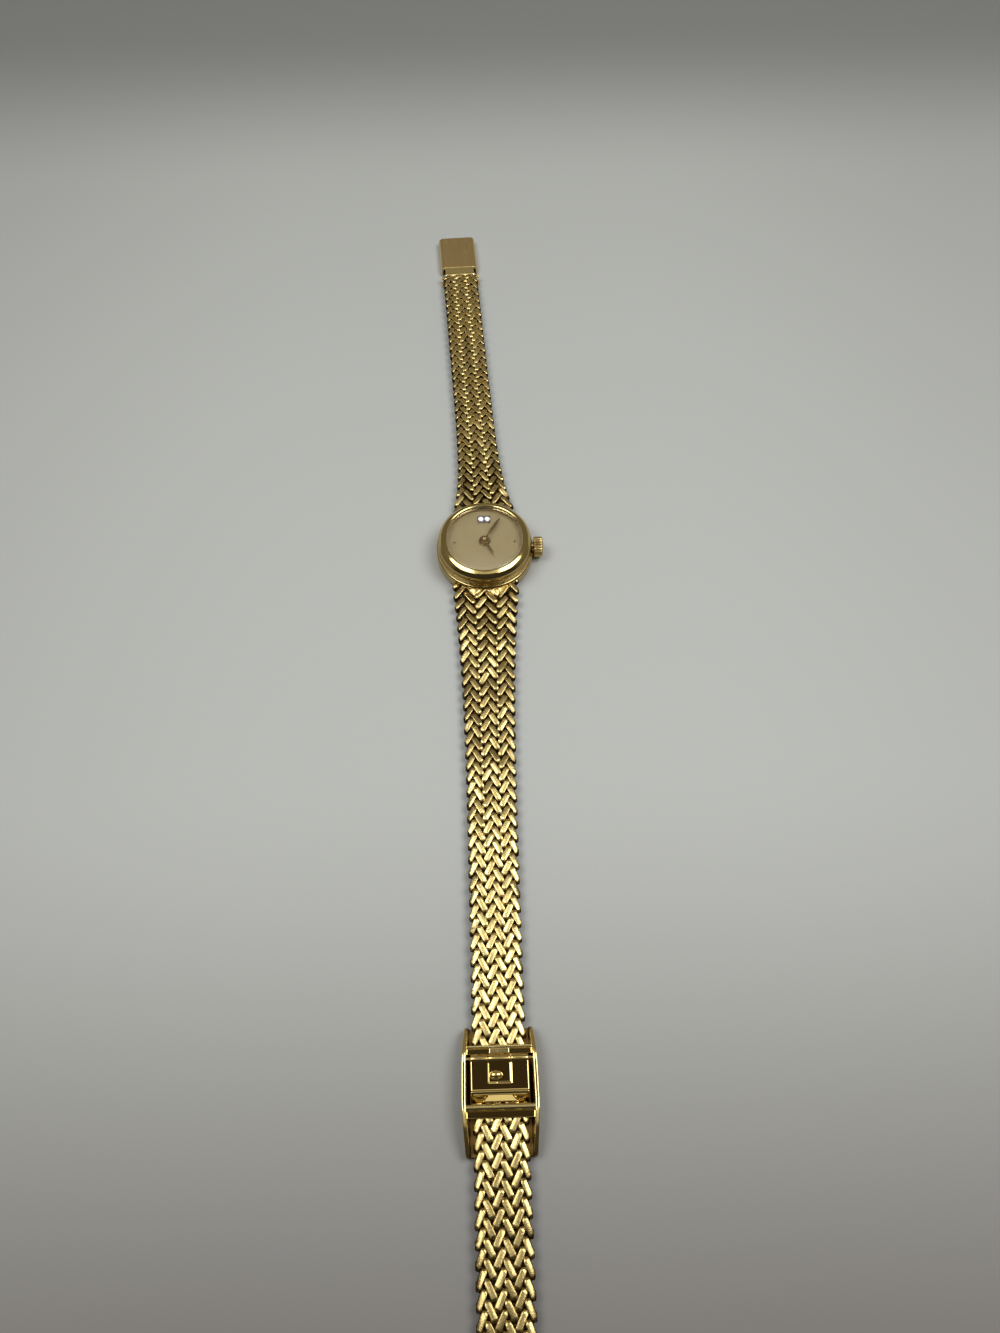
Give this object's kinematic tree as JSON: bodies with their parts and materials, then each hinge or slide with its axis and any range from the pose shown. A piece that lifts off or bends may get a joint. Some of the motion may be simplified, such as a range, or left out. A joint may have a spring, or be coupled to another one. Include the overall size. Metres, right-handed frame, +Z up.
{
  "type": "bracelet watch",
  "caption": "Slim gold-tone bracelet watch: long-round stepped case with domed crystal, tapering woven mesh band and an adjustable sliding clasp.",
  "frame": {"origin": "centre of the snap back's outer face, where the watch rests on the table", "axes": "+Y toward twelve o'clock along the band, +X toward the crown, +Z up out of the dial"},
  "size_m": [0.0181, 0.2088, 0.0052],
  "materials": {
    "gold_polished": "bright polished gold tone",
    "gold_satin": "fine satin gold tone",
    "gold_mesh": "polished woven wire, gold tone",
    "crystal": "clear mineral crystal",
    "gasket": "matt black",
    "spacer": "natural moulded plastic",
    "movement_brass": "grained brass",
    "movement_steel": "fine grained steel",
    "board": "varnished circuit board",
    "coil_wire": "enamelled copper wire",
    "dial_champagne": "satin champagne lacquer",
    "dial_print": "black printed dot",
    "white_metal": "bright white metal"
  },
  "bodies": {
    "case": {"case_middle": "gold_satin", "bezel": "gold_polished", "crystal": "crystal", "crystal_gasket": "gasket", "case_back": "gold_satin", "back_gasket": "gasket", "movement_ring": "spacer", "main_plate": "movement_brass", "train_bridge": "movement_brass", "bridge_screws": "movement_steel", "battery": "movement_steel", "battery_contact": "movement_brass", "circuit_board": "board", "coil": "coil_wire", "stator": "movement_steel", "dial": "dial_champagne", "dial_markers": "dial_print", "stone_setting": "white_metal", "stone": "crystal", "mesh_up_0": "gold_mesh", "mesh_low_0": "gold_mesh"},
    "centre": {"centre_wheel": "movement_brass", "minute_hand": "gold_polished"},
    "hours": {"hour_wheel": "movement_brass", "hour_hand": "gold_polished"},
    "minute_gear": {"minute_wheel": "movement_brass"},
    "third_gear": {"third_wheel": "movement_brass"},
    "intermediate_gear": {"intermediate_wheel": "movement_brass"},
    "rotor_gear": {"rotor": "movement_steel"},
    "clutch": {"sliding_pinion": "movement_steel"},
    "crown_set": {"crown": "gold_polished", "stem": "movement_steel", "crown_gasket": "gasket"},
    "upper_1": {"mesh_up_1": "gold_mesh"},
    "upper_2": {"mesh_up_2": "gold_mesh"},
    "upper_3": {"mesh_up_3": "gold_mesh"},
    "upper_4": {"mesh_up_4": "gold_mesh"},
    "upper_5": {"mesh_up_5": "gold_mesh"},
    "upper_6": {"mesh_up_6": "gold_mesh"},
    "upper_7": {"mesh_up_7": "gold_mesh", "band_end_ferrule": "gold_polished", "cover_pin": "movement_steel"},
    "cover": {"clasp_cover": "gold_satin", "cover_hook": "gold_satin"},
    "lower_1": {"mesh_low_1": "gold_mesh"},
    "lower_2": {"mesh_low_2": "gold_mesh"},
    "lower_3": {"mesh_low_3": "gold_mesh"},
    "lower_4": {"mesh_low_4": "gold_mesh"},
    "lower_5": {"mesh_low_5": "gold_mesh"},
    "lower_6": {"mesh_low_6": "gold_mesh"},
    "lower_7": {"mesh_low_7": "gold_mesh"},
    "slide_mesh": {"mesh_slide": "gold_mesh"},
    "tail_1": {"mesh_tail_1": "gold_mesh"},
    "tail_2": {"mesh_tail_2": "gold_mesh", "tail_cap": "gold_satin"},
    "slider": {"slider_frame": "gold_polished", "lever_pin": "movement_steel", "hook_bar": "gold_polished"},
    "lever": {"lock_lever": "gold_polished"}
  },
  "joints": [
    {"name": "minute_turn", "type": "hinge", "parent": "case", "child": "centre", "pos_m": [0, 0, 0.003], "axis": [0, 0, -1], "continuous": true},
    {"name": "hour_turn", "type": "hinge", "parent": "case", "child": "hours", "pos_m": [0, 0, 0.003], "axis": [0, 0, -1], "continuous": true},
    {"name": "minute_gear_turn", "type": "hinge", "parent": "case", "child": "minute_gear", "pos_m": [0.001, -0.00173, 0.0026], "axis": [0, 0, -1], "continuous": true},
    {"name": "third_turn", "type": "hinge", "parent": "case", "child": "third_gear", "pos_m": [-0.00026, 0.00148, 0.0014], "axis": [0, 0, -1], "continuous": true},
    {"name": "intermediate_turn", "type": "hinge", "parent": "case", "child": "intermediate_gear", "pos_m": [0.00049, 0.00278, 0.0015], "axis": [0, 0, -1], "continuous": true},
    {"name": "rotor_turn", "type": "hinge", "parent": "case", "child": "rotor_gear", "pos_m": [0.00187, 0.00253, 0.0015], "axis": [0, 0, -1], "continuous": true},
    {"name": "crown_turn", "type": "hinge", "parent": "case", "child": "clutch", "pos_m": [0.005, 0, 0.002], "axis": [1, 0, 0], "continuous": true},
    {"name": "crown_pull", "type": "slide", "parent": "clutch", "child": "crown_set", "axis": [1, 0, 0], "range_m": [0, 0.0004]},
    {"name": "upper_bend_1", "type": "hinge", "parent": "case", "child": "upper_1", "pos_m": [-0.00023, 0.0126, 0.00055], "axis": [-0.9984, -0.0558, 0], "range_deg": [0, 18]},
    {"name": "upper_bend_2", "type": "hinge", "parent": "upper_1", "child": "upper_2", "pos_m": [-0.00069, 0.02086, 0.00055], "axis": [-0.9984, -0.0558, 0], "range_deg": [0, 18]},
    {"name": "upper_bend_3", "type": "hinge", "parent": "upper_2", "child": "upper_3", "pos_m": [-0.00115, 0.02913, 0.00055], "axis": [-0.9984, -0.0558, 0], "range_deg": [0, 18]},
    {"name": "upper_bend_4", "type": "hinge", "parent": "upper_3", "child": "upper_4", "pos_m": [-0.00162, 0.0374, 0.00055], "axis": [-0.9984, -0.0558, 0], "range_deg": [0, 18]},
    {"name": "upper_bend_5", "type": "hinge", "parent": "upper_4", "child": "upper_5", "pos_m": [-0.00208, 0.04566, 0.00055], "axis": [-0.9984, -0.0558, 0], "range_deg": [0, 18]},
    {"name": "upper_bend_6", "type": "hinge", "parent": "upper_5", "child": "upper_6", "pos_m": [-0.00254, 0.05393, 0.00055], "axis": [-0.9984, -0.0558, 0], "range_deg": [0, 18]},
    {"name": "upper_bend_7", "type": "hinge", "parent": "upper_6", "child": "upper_7", "pos_m": [-0.003, 0.0622, 0.00055], "axis": [-0.9984, -0.0558, 0], "range_deg": [0, 18]},
    {"name": "lower_bend_1", "type": "hinge", "parent": "case", "child": "lower_1", "pos_m": [0, -0.0126, 0.00055], "axis": [1, 0, 0], "range_deg": [0, 18]},
    {"name": "lower_bend_2", "type": "hinge", "parent": "lower_1", "child": "lower_2", "pos_m": [0, -0.02088, 0.00055], "axis": [1, 0, 0], "range_deg": [0, 18]},
    {"name": "lower_bend_3", "type": "hinge", "parent": "lower_2", "child": "lower_3", "pos_m": [0, -0.02916, 0.00055], "axis": [1, 0, 0], "range_deg": [0, 18]},
    {"name": "lower_bend_4", "type": "hinge", "parent": "lower_3", "child": "lower_4", "pos_m": [0, -0.03744, 0.00055], "axis": [1, 0, 0], "range_deg": [0, 18]},
    {"name": "lower_bend_5", "type": "hinge", "parent": "lower_4", "child": "lower_5", "pos_m": [0, -0.04572, 0.00055], "axis": [1, 0, 0], "range_deg": [0, 18]},
    {"name": "lower_bend_6", "type": "hinge", "parent": "lower_5", "child": "lower_6", "pos_m": [0, -0.054, 0.00055], "axis": [1, 0, 0], "range_deg": [0, 18]},
    {"name": "lower_bend_7", "type": "hinge", "parent": "lower_6", "child": "lower_7", "pos_m": [0, -0.06228, 0.00055], "axis": [1, 0, 0], "range_deg": [0, 18]},
    {"name": "lower_bend_8", "type": "hinge", "parent": "lower_7", "child": "slide_mesh", "pos_m": [0, -0.07056, 0.00055], "axis": [1, 0, 0], "range_deg": [0, 18]},
    {"name": "lower_bend_9", "type": "hinge", "parent": "slide_mesh", "child": "tail_1", "pos_m": [0, -0.10782, 0.00055], "axis": [1, 0, 0], "range_deg": [0, 18]},
    {"name": "lower_bend_10", "type": "hinge", "parent": "tail_1", "child": "tail_2", "pos_m": [0, -0.1161, 0.00055], "axis": [1, 0, 0], "range_deg": [0, 18]},
    {"name": "slider_travel", "type": "slide", "parent": "slide_mesh", "child": "slider", "axis": [0, -1, 0], "range_m": [-0.0065, 0.013]},
    {"name": "lever_lift", "type": "hinge", "parent": "slider", "child": "lever", "pos_m": [0, -0.0822, 0.00265], "axis": [-1, 0, 0], "range_deg": [0, 95]},
    {"name": "cover_swing", "type": "hinge", "parent": "upper_7", "child": "cover", "pos_m": [-0.00352, 0.0714, 0.0013], "axis": [0.9984, 0.0558, 0], "range_deg": [-25, 90]}
  ],
  "couplings": [
    {"joint": "minute_gear_turn", "follows": "minute_turn", "ratio": -0.33333},
    {"joint": "hour_turn", "follows": "minute_turn", "ratio": 0.083333},
    {"joint": "third_turn", "follows": "minute_turn", "ratio": -3},
    {"joint": "intermediate_turn", "follows": "minute_turn", "ratio": 12},
    {"joint": "rotor_turn", "follows": "minute_turn", "ratio": -90}
  ]
}
